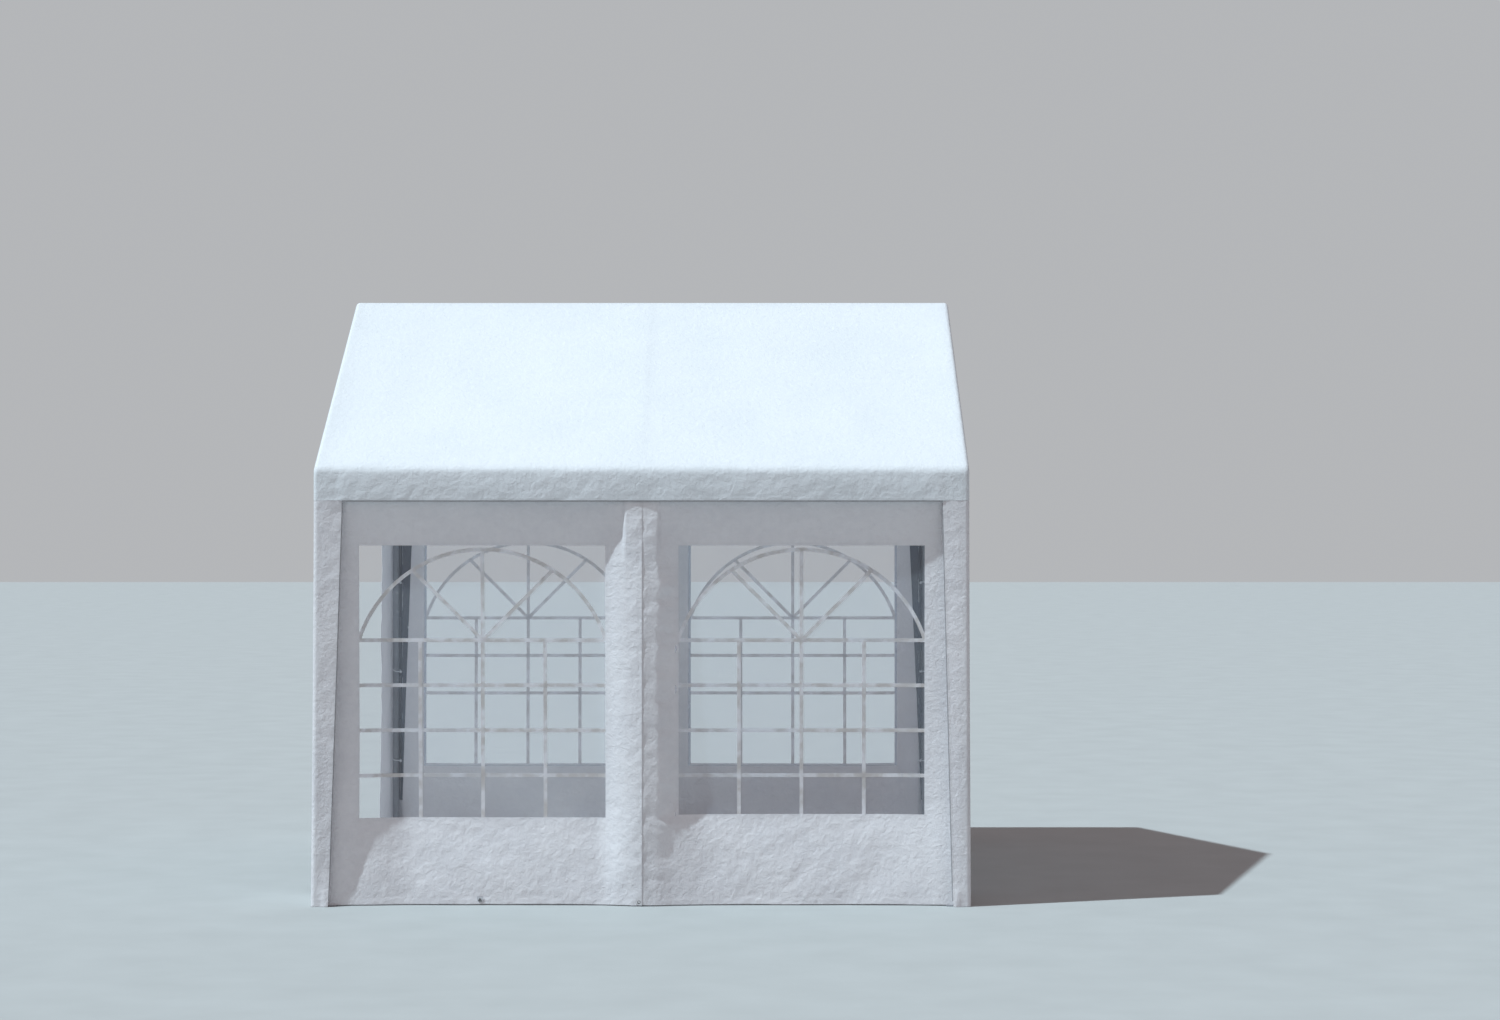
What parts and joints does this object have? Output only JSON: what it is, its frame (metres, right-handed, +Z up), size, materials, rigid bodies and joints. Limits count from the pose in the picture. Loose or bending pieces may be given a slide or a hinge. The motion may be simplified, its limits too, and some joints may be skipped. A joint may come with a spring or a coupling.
{
  "type": "marquee tent",
  "caption": "Free-standing party marquee with a steel tube frame, ridged fabric roof with valances, windowed side walls and open gable doorways with rolled curtains.",
  "frame": {"origin": "on the ground, under the middle of the tent", "axes": "+X along the ridge, to the right as seen from the front; the front wall faces -Y; +Z up"},
  "size_m": [3, 3, 2.865],
  "materials": {
    "roof_fabric": "white coated woven sheeting, matt, shining through a little in the light",
    "wall_fabric": "white coated woven sheeting, lightly creased, satin",
    "window_film": "clear film with printed bars",
    "steel": "grey powder-coated steel tube"
  },
  "bodies": {
    "root": {"roof_cover": "roof_fabric", "wall_front_left": "wall_fabric", "wall_front_right": "wall_fabric", "wall_back_left": "wall_fabric", "wall_back_right": "wall_fabric", "window_film_front_left": "window_film", "window_film_front_right": "window_film", "window_film_back_left": "window_film", "window_film_back_right": "window_film", "gable_panel_left": "wall_fabric", "gable_panel_right": "wall_fabric", "corner_strip_front_left": "wall_fabric", "corner_strip_front_right": "wall_fabric", "corner_strip_back_left": "wall_fabric", "corner_strip_back_right": "wall_fabric", "door_curtain_left": "wall_fabric", "door_curtain_right": "wall_fabric", "leg_front_left": "steel", "leg_front_middle": "steel", "leg_front_right": "steel", "leg_back_left": "steel", "leg_back_middle": "steel", "leg_back_right": "steel", "rafter_front_left": "steel", "rafter_front_middle": "steel", "rafter_front_right": "steel", "rafter_back_left": "steel", "rafter_back_middle": "steel", "rafter_back_right": "steel", "eave_beam_front_left": "steel", "eave_beam_front_right": "steel", "eave_beam_back_left": "steel", "eave_beam_back_right": "steel", "ridge_beam_left": "steel", "ridge_beam_right": "steel", "eave_connector_front_left": "steel", "eave_connector_front_middle": "steel", "eave_connector_front_right": "steel", "eave_connector_back_left": "steel", "eave_connector_back_middle": "steel", "eave_connector_back_right": "steel", "ridge_connector_left": "steel", "ridge_connector_middle": "steel", "ridge_connector_right": "steel"}
  },
  "joints": []
}
